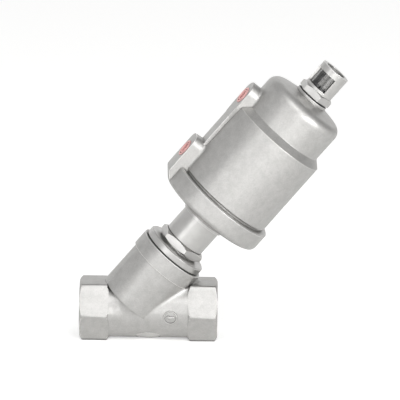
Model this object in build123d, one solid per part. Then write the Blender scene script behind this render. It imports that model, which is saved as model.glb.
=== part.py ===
from build123d import *
from math import cos, pi, radians, sin, sqrt, tan
import os

# Angle seat valve with a single-acting piston actuator, in millimetres, +Z up.
# The origin is the centre of the inlet face and +X runs along the pipe, out of the inlet.
# The stem leans over the inlet. Stations are measured along the stem axis, outwards from the
# point where it crosses the pipe axis, and radii from the stem axis.

# ---------------------------------------------------------------- clearances
running_clearance = 0.05      # radial, shaft in bush or seal in bore
thread_clearance = 0.06       # radial, between the plain cylinders that stand for threads
seat_clearance = 0.1          # axial, between pieces that slide over each other

# ---------------------------------------------------------------- pipe run of the body casting
face_to_face = 75.0
end_hex_flats = 31.3
end_hex_length = 16.3
end_hex_inset = 0.25          # turned face of a hex end, inside its flats
hex_chamfer_angle = 30.0
pipe_thread_radius = 12.06    # G 3/4 minor radius
pipe_thread_length = 14.0
pipe_mouth_chamfer = 1.3
pipe_wall = 3.2
pipe_radius = end_hex_flats / 2
waterway_radius = pipe_radius - pipe_wall
gate_length = 13.6            # flat on the run where the casting gate was ground off
gate_width = 9.8
gate_depth = 0.35             # below the top of the run's curve
gate_turn = 57.0              # about the pipe axis, from the front downwards

# ---------------------------------------------------------------- stem axis and seat
stem_angle = 50.0             # above the pipe axis
stem_to_inlet = 51.05         # axis crossing to the inlet face
bridge_thickness = 3.2
seat_radius = 8.5
seat_lip_width = 1.1
seat_lip_height = 0.8
chamber_radius = 13.0

# ---------------------------------------------------------------- branch of the body casting
branch_radius = 18.2
branch_start = 6.1
branch_length = 26.0
branch_blend = 3.0            # fillet between the branch and the pipe
ring_radius = 19.2
ring_height = 8.7
bonnet_thread_radius = 15.1
bonnet_thread_depth = 14.0
body_top = branch_start + branch_length + ring_height

# ---------------------------------------------------------------- bonnet
gasket_thickness = 0.7
gasket_radius = 17.3
spigot_length = 10.5
collar_radius = 17.8
collar_height = 3.9
collar_chamfer = 0.8
bonnet_undercut_height = 0.8
bonnet_undercut_radius = 11.2
bonnet_hex_flats = 24.6
bonnet_hex_height = 4.6
bonnet_hex_turn = 40.0        # of a corner about the stem axis, from the plane of the pipe
neck_radius = 11.7
neck_exposed = 14.9
neck_inside = 15.3            # length of neck above the cap's lip
collar_bottom = body_top + gasket_thickness
spigot_bottom = collar_bottom - spigot_length
collar_top = collar_bottom + collar_height
bonnet_hex_bottom = collar_top + bonnet_undercut_height
bonnet_hex_top = bonnet_hex_bottom + bonnet_hex_height
cap_bottom = bonnet_hex_top + neck_exposed
neck_top = cap_bottom + neck_inside

# ---------------------------------------------------------------- stem and its packing
stem_radius = 5.0
stem_bore = stem_radius + running_clearance
packing_radius = 8.0
nose_length = 5.0             # solid nose of the bonnet below the packing
wiper_height = 2.0
wiper_radius = 6.8
packing_spring_length = 9.0
packing_wire_radius = 0.6
packing_spring_turns = 4
packing_washer_height = 1.5
v_ring_count = 4
v_ring_height = 2.75
v_ring_dip = 0.9
gland_length = 17.0
gland_wall = 1.5
gland_bush_length = 12.0
gland_seal_wire = 0.9
packing_bottom = spigot_bottom + nose_length
packing_washer_bottom = packing_bottom + packing_spring_length
v_rings_bottom = packing_washer_bottom + packing_washer_height
gland_bottom = v_rings_bottom + v_ring_count * v_ring_height + v_ring_dip + seat_clearance
gland_top = gland_bottom + gland_length

# ---------------------------------------------------------------- disc end of the stem
disc_seal_radius = 10.2
disc_seal_height = 3.6
disc_skirt = 2.4              # how far the holder reaches down round the seal
disc_holder_radius = 11.2
disc_holder_height = 4.4
disc_hub_radius = 8.2
disc_hub_height = 7.5
disc_stud_radius = 3.0
disc_stud_end = 6.6           # below the seat face
disc_washer_radius = 7.2
disc_washer_height = 1.4
disc_nut_flats = 10.0
disc_nut_height = 4.2
pin_radius = 1.25
seal_bottom = seat_lip_height
seal_top = seal_bottom + disc_seal_height
holder_shoulder = seal_top + disc_holder_height
stem_bottom = seal_top + disc_holder_height / 2
hub_top = holder_shoulder + disc_hub_height

# ---------------------------------------------------------------- actuator cap and swivel
cap_lip_height = 1.5
cap_lip_radius = 12.6
cap_cone_angle = 14.0
cap_thread_radius = 26.8
cap_hub_radius = 15.2
cap_hub_height = 10.9         # cone root to hub top
cap_floor = 5.2               # cone root to pocket floor
cap_rim_width = 4.0
cap_rim_height = 10.0         # cone root to the top of the threaded rim
swivel_washer_height = 0.9
swivel_washer_radius = 14.4
snap_ring_height = 1.2
snap_ring_radius = 13.2
snap_ring_depth = 0.8
swivel_seal_wire = 0.95
cap_seal_wire = 0.9
cap_bore = neck_radius + running_clearance
cone_root = cap_bottom + cap_lip_height
cap_hub_top = cone_root + cap_hub_height
cap_rim_top = cone_root + cap_rim_height
swivel_washer_bottom = cap_hub_top + seat_clearance
snap_ring_bottom = swivel_washer_bottom + swivel_washer_height

# ---------------------------------------------------------------- actuator housing
rim_wall = 4.4                # round the cap's thread
rim_height = 12.0
rim_rounding = 2.8
rim_edge_chamfer = 0.6
groove_height = 1.2
groove_radius = 27.2
barrel_radius_low = 28.2
barrel_radius_high = 27.9
barrel_edge_chamfer = 0.5
barrel_height = 44.2
shoulder_height = 3.8
tower_radius = 23.9
tower_height = 19.4
dome_rounding = 5.5
dome_angle = 12.0
cylinder_bore = 25.0
wall = 3.0
boss_radius = 9.6
boss_height = 1.5
ceiling_chamfer = 2.0
rim_radius = cap_thread_radius + rim_wall
rim_bottom = cone_root + (cap_thread_radius - cap_lip_radius) * tan(radians(cap_cone_angle))
rim_top = rim_bottom + rim_height
barrel_bottom = rim_top + groove_height
barrel_top = barrel_bottom + barrel_height
tower_bottom = barrel_top + shoulder_height
tower_top = tower_bottom + tower_height
boss_root = tower_top + (tower_radius - boss_radius) * tan(radians(dome_angle))
boss_top = boss_root + boss_height

# ---------------------------------------------------------------- port strip of the housing
port_turn = 6.0               # the strip's turn about the stem axis, from the plane of the pipe
strip_proud = 1.1             # strip's face outside the barrel
strip_width = 10.6
upper_lug_proud = 1.4         # outside the barrel
upper_lug_width = 12.4
lower_lug_proud = 3.0         # outside the rim
lower_lug_width = 13.2
lower_lug_draft = 5.0
lower_lug_above_port = 9.5
lower_lug_rounding = 4.5
lower_lug_chamfer = 4.4
upper_lug_above_port = 8.9
upper_lug_below_port = 7.0
strip_root = 18.0             # inner face of the lugs before the bores are cut
strip_rounding = 0.5
lower_lug_blend = 1.8         # fillet between the lower lug and the barrel
upper_lug_blend = 1.2         # fillet between the upper lug and the tower
skin_gap = 0.001              # how near an edge's middle lies to the skins that meet there
port_above_rim = 7.9          # lower port's centre above the rim's top
port_above_barrel = 4.7       # upper port's centre above the barrel
port_radius = 4.28            # G 1/8 minor radius
port_depth = 7.0
port_mouth_radius = 4.9
port_mouth_depth = 1.0
air_hole_radius = 1.5
air_hole_offset = 2.2         # drilling's axis in front of the port's floor
strip_face = barrel_radius_low + strip_proud   # distances of the faces from the stem axis
upper_lug_face = barrel_radius_low + upper_lug_proud
lower_lug_face = rim_radius + lower_lug_proud
lower_port = rim_top + port_above_rim
upper_port = barrel_top + port_above_barrel

# ---------------------------------------------------------------- piston
stroke = 11.0
piston_gap = 1.0              # above the neck when closed
piston_side_gap = 0.4
piston_height = 11.0
piston_floor = 6.0
piston_hub_radius = 8.4
piston_rim_width = 3.2
piston_stud_radius = 4.0
seal_groove_depth = 2.4
seal_groove_height = 3.2
seal_groove_bottom = 1.6      # above the piston's underside
guide_groove_depth = 1.2
guide_groove_height = 2.8
guide_groove_gap = 1.8        # land between the two grooves
piston_washer_radius = 8.0
piston_washer_height = 1.6
piston_nut_flats = 13.0
piston_nut_height = 6.5
piston_seal_wire = 0.8
piston_radius = cylinder_bore - piston_side_gap
piston_bottom = neck_top + piston_gap
piston_top = piston_bottom + piston_height
piston_nut_bottom = piston_top + piston_washer_height
piston_nut_top = piston_nut_bottom + piston_nut_height

# ---------------------------------------------------------------- springs
runs_per_turn = 14            # straight runs that stand for one turn of wire
wire_sides = 6                # flats that stand for the round of a wire or an O-ring
outer_wire_radius = 1.6
outer_spring_radius = 15.3
outer_spring_turns = 6.5
inner_wire_radius = 1.1
inner_spring_radius = 10.2
inner_spring_turns = 8.5

# ---------------------------------------------------------------- position indicator
cage_radius = 8.4
cage_wall = 1.45
cage_lip = 0.9
cage_lip_height = 1.4
cage_tube_height = 14.2
cage_hex_flats = 17.6
cage_hex_height = 3.9
cage_hex_turn = 40.0
cage_spigot_radius = 7.8
cage_spigot_length = 4.4
cage_seal_height = 0.9
cage_seal_radius = 8.7
window_turn = -130.0          # middle of the front window about the stem axis
window_angle = 110.0
window_height = 9.2
window_sill = 1.5             # above the hex
sight_wall = 0.8
rod_radius = 2.5
rod_socket_radius = 5.4
rod_socket_length = 9.0
rod_overlap = 3.0             # stud inside the socket
bush_radius = 4.5
bush_flange_radius = 6.0
bush_flange_height = 0.8
indicator_radius = 5.5
indicator_height = 4.5
indicator_chamfer = 0.8
cage_bore = cage_radius - cage_wall
sight_radius = cage_bore - running_clearance
cage_hex_bottom = boss_top + cage_seal_height
cage_hex_top = cage_hex_bottom + cage_hex_height
cage_top = cage_hex_top + cage_tube_height
dome_floor = boss_top - cage_spigot_length + cage_seal_height - seat_clearance
ceiling = dome_floor - wall
stud_top = piston_nut_top + rod_overlap + 2 * seat_clearance
rod_bottom = piston_nut_top + 2 * seat_clearance
indicator_bottom = dome_floor + bush_flange_height + seat_clearance * 2

# ---------------------------------------------------------------- port plugs
plug_clearance = 0.08
plug_length = 6.0
plug_proud = 0.15
plug_socket_radius = 2.7
plug_socket_depth = 3.2

# ---------------------------------------------------------------- frames
STEM = Plane(
    origin=(-stem_to_inlet, 0, 0),
    x_dir=(sin(radians(stem_angle)), 0, -cos(radians(stem_angle))),
    z_dir=(cos(radians(stem_angle)), 0, sin(radians(stem_angle))),
)


def turned(*outline, rounds=()):
    """Solid of revolution about the stem axis from (radius, station) corners."""
    face = make_face(Polyline(*outline, close=True))
    for radius, station, size in rounds:
        corner = face.vertices().sort_by_distance((radius, station))[0]
        face = fillet(corner, size)
    return revolve(Plane.XZ * face, Axis.Z)


def ring(inner, outer, bottom, top):
    """Plain ring about the stem axis."""
    return turned((inner, bottom), (outer, bottom), (outer, top), (inner, top))


def rod(radius, bottom, top):
    """Plain cylinder about the stem axis."""
    return Pos(0, 0, bottom) * Cylinder(
        radius, top - bottom, align=(Align.CENTER, Align.CENTER, Align.MIN)
    )


def o_ring(inner, wire, middle):
    """O-ring that bears on a cylinder of the inner radius, its round drawn in flats."""
    section = Pos(inner + wire, middle) * Rot(0, 0, 90) * RegularPolygon(wire, wire_sides)
    return revolve(Plane.XZ * section, Axis.Z)


def plain_hex(flats, bottom, top):
    """Hexagon bar about the stem axis."""
    return Pos(0, 0, bottom) * extrude(
        RegularPolygon(flats / 2, 6, major_radius=False), top - bottom
    )


def chamfered_hex(flats, bottom, top, inset=0.2, chamfer_bottom=True):
    """Hexagon bar about the stem axis with turned 30 degree corners."""
    corner = flats / sqrt(3)
    face_radius = flats / 2 - inset
    drop = (corner - face_radius) * tan(radians(hex_chamfer_angle))
    outline = [(0, bottom), (corner, bottom)]
    if chamfer_bottom:
        outline = [(0, bottom), (face_radius, bottom), (corner, bottom + drop)]
    outline += [(corner, top - drop), (face_radius, top), (0, top)]
    return plain_hex(flats, bottom, top) & turned(*outline)


def coil(radius, wire, turns, bottom, top):
    """Open coil spring between two seats, wound in short straight runs."""
    low = bottom + wire + seat_clearance
    climb = top - bottom - 2 * wire - 2 * seat_clearance
    runs = round(turns * runs_per_turn)
    points = []
    for step in range(runs + 1):
        angle = 2 * pi * step / runs_per_turn
        points.append((radius * cos(angle), radius * sin(angle), low + climb * step / runs))
    path = Polyline(*points)
    start = Plane(origin=path @ 0, z_dir=path % 0)
    section = RegularPolygon(wire, wire_sides)
    return sweep(start * section, path=path, transition=Transition.RIGHT)


def along_pipe(start, outline_radius, end):
    """Cylinder along the pipe between two X positions."""
    return Pos(start, 0, 0) * Rot(0, 90, 0) * Cylinder(
        outline_radius, end - start, align=(Align.CENTER, Align.CENTER, Align.MIN)
    )


# ================================================================ body group
def end_hex(face_x, inwards):
    """Spanner end of the pipe run, flats up and down, its outer face at face_x."""
    plane = Plane(origin=(face_x, 0, 0), x_dir=(0, 1, 0), z_dir=(inwards, 0, 0))
    return plane * chamfered_hex(end_hex_flats, 0, end_hex_length, inset=end_hex_inset)


def threaded_end(face_x, inwards):
    """Pipe thread's bore with its mouth chamfer."""
    mouth = pipe_thread_radius + pipe_mouth_chamfer
    bore = turned(
        (0, 0),
        (mouth, 0),
        (pipe_thread_radius, pipe_mouth_chamfer),
        (pipe_thread_radius, pipe_thread_length),
        (0, pipe_thread_length),
    )
    return Plane(origin=(face_x, 0, 0), x_dir=(0, 1, 0), z_dir=(inwards, 0, 0)) * bore


def blended_branch():
    """Branch with the fillet that joins it to the pipe, cut off at the branch's foot."""
    inlet_run = along_pipe(-stem_to_inlet, pipe_radius, 0)
    crossing = inlet_run + STEM * rod(branch_radius, -body_top, body_top)
    seams = crossing.edges().filter_by(GeomType.BSPLINE)
    above_foot = STEM * rod(2 * body_top, branch_start, body_top)
    return fillet(seams, branch_blend) & above_foot


def body_outside():
    """Pipe run with its leaning branch and the ring that carries the bonnet."""
    shape = along_pipe(-face_to_face + end_hex_length / 2, pipe_radius, -end_hex_length / 2)
    shape += STEM * rod(pipe_radius, 0, branch_start)
    shape += blended_branch()
    shape += STEM * rod(ring_radius, body_top - ring_height, body_top)
    shape += end_hex(0, -1)
    shape += end_hex(-face_to_face, 1)
    return shape


def ground_gate(shape):
    """Levels the oval patch on the run's underside where the casting gate was."""
    turn = radians(gate_turn)
    outwards = Plane(
        origin=(-face_to_face / 2, 0, 0), x_dir=(1, 0, 0), z_dir=(0, -cos(turn), -sin(turn))
    )
    patch = outwards * extrude(Ellipse(gate_length / 2, gate_width / 2), pipe_radius - gate_depth)
    above = Pos(0, 0, pipe_radius - gate_depth) * extrude(
        Ellipse(gate_length / 2, gate_width / 2), 2 * gate_depth
    )
    return shape + patch - outwards * above


def waterways():
    """Flow passage: below the seat from the outlet, above it from the inlet."""
    reach = 4 * pipe_radius
    run = along_pipe(-face_to_face + pipe_thread_length, waterway_radius, -pipe_thread_length)
    slab = Box(2 * reach, 2 * reach, reach, align=(Align.CENTER, Align.CENTER, Align.MIN))
    above = STEM * slab
    below = STEM * Pos(0, 0, -bridge_thickness) * Rot(180, 0, 0) * slab
    inlet_side = Pos(-stem_to_inlet, 0, 0) * Box(
        reach * 2, reach * 2, reach * 2, align=(Align.MIN, Align.CENTER, Align.CENTER)
    )
    passage = (run & below) + (run & above & inlet_side)
    passage += STEM * rod(seat_radius, -bridge_thickness - seat_lip_height, seat_lip_height)
    passage += STEM * rod(chamber_radius, 0, body_top - bonnet_thread_depth)
    passage += STEM * rod(bonnet_thread_radius, body_top - bonnet_thread_depth, body_top)
    passage += threaded_end(0, -1)
    passage += threaded_end(-face_to_face, 1)
    return passage


def valve_body():
    """Y-pattern casting with the seat bridge across its run."""
    lip = ring(seat_radius, seat_radius + seat_lip_width, 0, seat_lip_height)
    return ground_gate(body_outside()) - waterways() + STEM * lip


def body_gasket():
    """Flat ring between the branch and the bonnet's collar."""
    return ring(bonnet_thread_radius, gasket_radius, body_top, collar_bottom)


def bonnet():
    """Turned bonnet: threaded spigot, collar, spanner hex and the neck tube."""
    thread = bonnet_thread_radius - thread_clearance
    outside = turned(
        (0, spigot_bottom),
        (thread, spigot_bottom),
        (thread, collar_bottom),
        (collar_radius, collar_bottom),
        (collar_radius, collar_top - collar_chamfer),
        (collar_radius - collar_chamfer, collar_top),
        (bonnet_undercut_radius, collar_top),
        (bonnet_undercut_radius, neck_top),
        (0, neck_top),
    )
    spanner_hex = chamfered_hex(bonnet_hex_flats, bonnet_hex_bottom, bonnet_hex_top)
    outside += Rot(0, 0, bonnet_hex_turn) * spanner_hex
    neck_bottom = bonnet_hex_top + bonnet_undercut_height / 2
    outside += rod(neck_radius, neck_bottom, neck_top)
    bore = rod(stem_bore, spigot_bottom, packing_bottom)
    bore += rod(wiper_radius, spigot_bottom, spigot_bottom + wiper_height)
    bore += rod(packing_radius, packing_bottom, neck_top)
    ring_floor = neck_radius - snap_ring_depth
    grooves = ring(ring_floor, neck_radius + 1, snap_ring_bottom, snap_ring_bottom + snap_ring_height)
    seal_floor = neck_radius - 2 * swivel_seal_wire
    seal_middle = (cap_bottom + cap_hub_top) / 2
    half = swivel_seal_wire + seat_clearance
    grooves += ring(seal_floor, neck_radius + 1, seal_middle - half, seal_middle + half)
    return outside - bore - grooves


def stem_wiper():
    """Scraper in the bonnet's nose."""
    return ring(stem_bore, wiper_radius, spigot_bottom, spigot_bottom + wiper_height)


def packing_spring():
    """Coil that keeps the V-rings loaded."""
    middle = (stem_radius + packing_radius) / 2
    return coil(
        middle, packing_wire_radius, packing_spring_turns, packing_bottom, packing_washer_bottom
    )


def packing_washer():
    """Support ring with the ridge that spreads the first V-ring."""
    middle = (stem_radius + packing_radius) / 2
    top = packing_washer_bottom + packing_washer_height
    outer = packing_radius - running_clearance
    return turned(
        (stem_bore, packing_washer_bottom),
        (outer, packing_washer_bottom),
        (outer, top),
        (middle, top + v_ring_dip - seat_clearance),
        (stem_bore, top),
    )


def v_rings():
    """Stack of identical chevron packing rings."""
    middle = (stem_radius + packing_radius) / 2
    outer = packing_radius - running_clearance
    low = v_rings_bottom
    high = low + v_ring_height - seat_clearance
    single = turned(
        (stem_bore, low),
        (middle, low + v_ring_dip),
        (outer, low),
        (outer, high),
        (middle, high + v_ring_dip),
        (stem_bore, high),
    )
    stack = single
    for index in range(1, v_ring_count):
        stack += Pos(0, 0, index * v_ring_height) * single
    return stack


def gland_nut():
    """Hollow screw that closes the packing chamber."""
    outer = packing_radius - thread_clearance
    inner = outer - gland_wall
    shape = ring(stem_bore + 0.5, outer, gland_bottom, gland_top)
    shape -= rod(inner, gland_bottom + seat_clearance, gland_bottom + gland_bush_length)
    seal_middle = gland_top - 2 * gland_seal_wire
    half = gland_seal_wire + seat_clearance
    shape -= rod(stem_bore + 2 * gland_seal_wire, seal_middle - half, seal_middle + half)
    return shape


def gland_bush():
    """Plastic guide bush inside the gland nut."""
    outer = packing_radius - thread_clearance - gland_wall - running_clearance
    bottom = gland_bottom + 2 * seat_clearance
    return ring(stem_bore, outer, bottom, gland_bottom + gland_bush_length - seat_clearance)


def gland_o_ring():
    """Upper stem seal in the gland nut's groove."""
    return o_ring(stem_bore, gland_seal_wire, gland_top - 2 * gland_seal_wire)


def swivel_o_ring():
    """Seal in the neck's groove, on which the actuator turns."""
    middle = (cap_bottom + cap_hub_top) / 2
    return o_ring(neck_radius - 2 * swivel_seal_wire, swivel_seal_wire, middle)


def swivel_washer():
    """Slide washer under the snap ring."""
    top = swivel_washer_bottom + swivel_washer_height
    return ring(cap_bore, swivel_washer_radius, swivel_washer_bottom, top - seat_clearance / 2)


def snap_ring():
    """Open retaining ring in the neck's groove, which holds the actuator on."""
    inner = neck_radius - snap_ring_depth
    shape = ring(inner, snap_ring_radius, snap_ring_bottom, snap_ring_bottom + snap_ring_height)
    gap = Pos(0, snap_ring_radius, snap_ring_bottom) * Box(
        snap_ring_radius / 2, snap_ring_radius, 4 * snap_ring_height
    )
    return shape - gap


# ================================================================ stem group
def stem():
    """Ground stem with a stud for the disc and a stud for the piston."""
    low = rod(disc_stud_radius, seal_bottom - disc_stud_end, stem_bottom)
    shaft = rod(stem_radius, stem_bottom, piston_bottom)
    high = rod(piston_stud_radius, piston_bottom, stud_top)
    cross = cross_pin(pin_radius)
    return low + shaft + high - cross


def cross_pin(radius):
    """Cylinder across the stem in the disc holder's hub."""
    middle = holder_shoulder + disc_hub_height / 2
    return Pos(0, 0, middle) * Rot(90, 0, 0) * Cylinder(radius, 2 * disc_hub_radius)


def disc_holder():
    """Turned holder that clamps the seat disc and is pinned to the stem."""
    stud = disc_stud_radius + running_clearance
    seal = disc_seal_radius + running_clearance
    shape = turned(
        (stud, seal_top),
        (seal, seal_top),
        (seal, seal_top - disc_skirt),
        (disc_holder_radius, seal_top - disc_skirt),
        (disc_holder_radius, holder_shoulder - disc_holder_height / 2),
        (disc_hub_radius, holder_shoulder),
        (disc_hub_radius, hub_top),
        (stud, hub_top),
    )
    shape -= rod(stem_radius + running_clearance, stem_bottom, hub_top)
    return shape - cross_pin(pin_radius)


def holder_pin():
    """Roll pin through the holder's hub and the stem."""
    return cross_pin(pin_radius)


def disc_seal():
    """Soft seat disc."""
    return ring(disc_stud_radius + running_clearance, disc_seal_radius, seal_bottom, seal_top)


def disc_washer():
    """Washer that clamps the seat disc from below."""
    bottom = seal_bottom - disc_washer_height
    return ring(disc_stud_radius + running_clearance, disc_washer_radius, bottom, seal_bottom)


def disc_nut():
    """Hexagon nut on the stem's lower stud."""
    top = seal_bottom - disc_washer_height
    nut = plain_hex(disc_nut_flats, top - disc_nut_height, top)
    return nut - rod(disc_stud_radius + running_clearance, top - disc_nut_height, top)


def piston():
    """Piston with a spring pocket above and two grooves round its side."""
    bore = piston_stud_radius + running_clearance
    floor = piston_bottom + piston_floor
    rim = piston_radius - piston_rim_width
    shape = turned(
        (bore, piston_bottom),
        (piston_radius, piston_bottom),
        (piston_radius, piston_top),
        (rim, piston_top),
        (rim, floor),
        (piston_hub_radius, floor),
        (piston_hub_radius, piston_top),
        (bore, piston_top),
    )
    outer = piston_radius + 1
    low, high = seal_groove()
    shape -= ring(piston_radius - seal_groove_depth, outer, low, high)
    low, high = guide_groove()
    shape -= ring(piston_radius - guide_groove_depth, outer, low, high)
    low, high = stud_seal_groove()
    return shape - rod(bore + 2 * piston_seal_wire, low, high)


def seal_groove():
    """Stations of the lip seal's groove."""
    low = piston_bottom + seal_groove_bottom
    return low, low + seal_groove_height


def guide_groove():
    """Stations of the guide band's groove."""
    low = seal_groove()[1] + guide_groove_gap
    return low, low + guide_groove_height


def stud_seal_groove():
    """Stations of the groove for the piston's inner O-ring."""
    low = piston_bottom + piston_floor / 2 - piston_seal_wire
    return low, low + 2 * piston_seal_wire + seat_clearance


def piston_lip_seal():
    """Lip seal that runs in the cylinder bore."""
    inner = piston_radius - seal_groove_depth + running_clearance
    outer = cylinder_bore - running_clearance
    low, high = seal_groove()
    low += seat_clearance
    high -= seat_clearance
    third = (high - low) / 3
    return turned(
        (inner, low),
        (piston_radius, low),
        (outer, low + third),
        (outer, high - third),
        (piston_radius, high),
        (inner, high),
    )


def piston_guide_band():
    """Plastic band that guides the piston in the bore."""
    inner = piston_radius - guide_groove_depth + running_clearance
    low, high = guide_groove()
    outer = cylinder_bore - running_clearance
    return ring(inner, outer, low + seat_clearance, high - seat_clearance)


def piston_o_ring():
    """Seal between the piston and the stem's stud."""
    low, high = stud_seal_groove()
    return o_ring(piston_stud_radius + running_clearance, piston_seal_wire, (low + high) / 2)


def piston_washer():
    """Washer under the piston's nut."""
    bore = piston_stud_radius + running_clearance
    return ring(bore, piston_washer_radius, piston_top, piston_nut_bottom)


def piston_nut():
    """Nut that holds the piston on the stem."""
    nut = plain_hex(piston_nut_flats, piston_nut_bottom, piston_nut_top)
    return nut - rod(piston_stud_radius + running_clearance, piston_nut_bottom, piston_nut_top)


def indicator_rod():
    """Rod screwed on the stem's upper stud; it carries the indicator through the dome."""
    socket_top = rod_bottom + rod_socket_length
    shape = rod(rod_socket_radius, rod_bottom, socket_top)
    shape += rod(rod_radius, socket_top, indicator_bottom + indicator_height / 2)
    return shape - rod(piston_stud_radius + thread_clearance, rod_bottom, stud_top + seat_clearance)


def indicator():
    """Coloured head that climbs in the sight tube as the valve opens."""
    top = indicator_bottom + indicator_height
    shape = turned(
        (0, indicator_bottom),
        (indicator_radius, indicator_bottom),
        (indicator_radius, top - indicator_chamfer),
        (indicator_radius - indicator_chamfer, top),
        (0, top),
    )
    return shape - rod(rod_radius, indicator_bottom, indicator_bottom + indicator_height / 2)


# ================================================================ actuator group
def bottom_cap():
    """Screwed cap of the actuator, which turns on the bonnet's neck."""
    thread = cap_thread_radius - thread_clearance
    rim_inner = thread - cap_rim_width
    pocket = cone_root + cap_floor
    shape = turned(
        (cap_bore, cap_bottom),
        (cap_lip_radius, cap_bottom),
        (cap_lip_radius, cone_root),
        (thread, rim_bottom),
        (thread, cap_rim_top),
        (rim_inner, cap_rim_top),
        (rim_inner, pocket),
        (cap_hub_radius, pocket),
        (cap_hub_radius, cap_hub_top),
        (cap_bore, cap_hub_top),
    )
    low, high = cap_seal_groove()
    return shape - ring(thread - 2 * cap_seal_wire, thread + 1, low, high)


def cap_seal_groove():
    """Stations of the groove for the cap's O-ring."""
    high = cap_rim_top - cap_seal_wire
    return high - 2 * cap_seal_wire - seat_clearance, high


def cap_o_ring():
    """Static seal between the cap and the housing."""
    low, high = cap_seal_groove()
    inner = cap_thread_radius - thread_clearance - 2 * cap_seal_wire
    return o_ring(inner, cap_seal_wire, (low + high) / 2)


def port_plane(distance):
    """Plane of a port face: X across the strip, towards the front, and Y along the stem axis."""
    turn = radians(port_turn)
    normal = (-cos(turn), -sin(turn), 0)
    origin = (distance * normal[0], distance * normal[1], 0)
    return Plane(origin=origin, x_dir=(sin(turn), -cos(turn), 0), z_dir=normal)


def port_strip():
    """Raised strip between the ports, with the upper port's lug at its end."""
    slim = Pos(0, (lower_port + upper_port) / 2) * Rectangle(strip_width, upper_port - lower_port)
    strip = port_plane(strip_face) * extrude(slim, strip_root - strip_face)
    half = upper_lug_width / 2
    low = upper_port - upper_lug_below_port
    end = upper_port + upper_lug_above_port - half
    neck = low - half
    outline = make_face(Polyline(
        (half, low),
        (half, end),
        (-half, end),
        (-half, low),
        (-strip_width / 2, neck),
        (strip_width / 2, neck),
        close=True,
    ))
    outline += Pos(0, end) * Circle(half)
    lug = extrude(outline, strip_root - upper_lug_face)
    lug = fillet(lug.faces().sort_by(Axis.Z)[-1].edges(), strip_rounding)
    return strip + port_plane(upper_lug_face) * lug


def lower_lug():
    """Prouder lug of the lower port, with drafted sides and a chamfered foot on the rim."""
    depth = lower_lug_face - strip_root
    spread = 2 * depth * tan(radians(lower_lug_draft))
    top = lower_port + lower_lug_above_port
    foot = rim_bottom + (rim_radius - cap_thread_radius) * tan(radians(cap_cone_angle))
    face = Pos(0, (top + foot) / 2) * Rectangle(lower_lug_width + spread, top - foot + spread)
    face = fillet(face.vertices().group_by(Axis.Y)[-1], lower_lug_rounding + spread / 2)
    lug = extrude(face, depth, taper=lower_lug_draft)
    side = make_face(Polyline(
        (0, foot),
        (depth - lower_lug_chamfer, foot + seat_clearance),
        (depth, foot + lower_lug_chamfer * 1.15),
        (depth, top + spread),
        (0, top + spread),
        close=True,
    ))
    corner = side.vertices().sort_by_distance((depth, foot + lower_lug_chamfer * 1.15))[0]
    side = fillet(corner, 2.5)
    cross = Plane(origin=(0, 0, 0), x_dir=(0, 0, 1), z_dir=(-1, 0, 0))
    slab = extrude(cross * side, 2 * lower_lug_width, both=True)
    return port_plane(strip_root) * (lug & slab)


def air_ways():
    """The two threaded ports with the drillings that lead under and over the piston."""
    ports = []
    for face, station in ((lower_lug_face, lower_port), (upper_lug_face, upper_port)):
        plane = port_plane(face) * Pos(0, station)
        ports.append(plane * extrude(Circle(port_radius), -port_depth))
        ports.append(plane * extrude(Circle(port_mouth_radius), -port_mouth_depth))
    floor = lower_lug_face - port_depth
    under = piston_bottom - air_hole_radius - 3 * seat_clearance
    drop = port_plane(floor + air_hole_offset) * Pos(0, (under + lower_port) / 2)
    ports.append(drop * Rot(90, 0, 0) * Cylinder(air_hole_radius, lower_port - under))
    inward = port_plane(floor + air_hole_offset) * Pos(0, under)
    reach = floor + air_hole_offset - cylinder_bore + wall
    ports.append(inward * extrude(Circle(air_hole_radius), -reach))
    upper_floor = upper_lug_face - port_depth
    upper = port_plane(upper_floor) * Pos(0, upper_port)
    reach = upper_floor - tower_radius + 2 * wall
    ports.append(upper * extrude(Circle(air_hole_radius), -reach))
    shape = ports[0]
    for port in ports[1:]:
        shape += port
    return shape


def housing_outside():
    """Turned form of the housing: rim, groove, barrel, shoulder, tower, dome and boss."""
    rim_corner = rim_bottom + (rim_radius - cap_thread_radius) * tan(radians(cap_cone_angle))
    return turned(
        (0, rim_bottom),
        (cap_thread_radius, rim_bottom),
        (rim_radius, rim_corner),
        (rim_radius, rim_top - rim_edge_chamfer),
        (rim_radius - rim_edge_chamfer, rim_top),
        (groove_radius, rim_top),
        (groove_radius, barrel_bottom),
        (barrel_radius_low - barrel_edge_chamfer, barrel_bottom),
        (barrel_radius_low, barrel_bottom + barrel_edge_chamfer),
        (barrel_radius_high, barrel_top),
        (tower_radius, tower_bottom),
        (tower_radius, tower_top),
        (boss_radius, boss_root),
        (boss_radius, boss_top),
        (0, boss_top),
        rounds=[
            (rim_radius, rim_corner, rim_rounding),
            (tower_radius, tower_top, dome_rounding),
        ],
    )


def housing_inside():
    """Cap's thread, cylinder bore, spring tower and the holes through the dome."""
    chamber = tower_radius - wall
    bore_top = barrel_top - wall / 2
    shape = turned(
        (0, rim_bottom - wall),
        (cap_thread_radius, rim_bottom - wall),
        (cap_thread_radius, cap_rim_top),
        (cylinder_bore, cap_rim_top),
        (cylinder_bore, bore_top),
        (chamber, bore_top + cylinder_bore - chamber),
        (chamber, ceiling - ceiling_chamfer),
        (chamber - ceiling_chamfer, ceiling),
        (0, ceiling),
    )
    shape += rod(bush_radius, ceiling, dome_floor)
    return shape + rod(cage_spigot_radius + thread_clearance, dome_floor, boss_top)


def on_skin(place, form):
    """Whether a place lies on the outside of a form."""
    return min(place.distance_to(face) for face in form.faces()) < skin_gap


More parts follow.
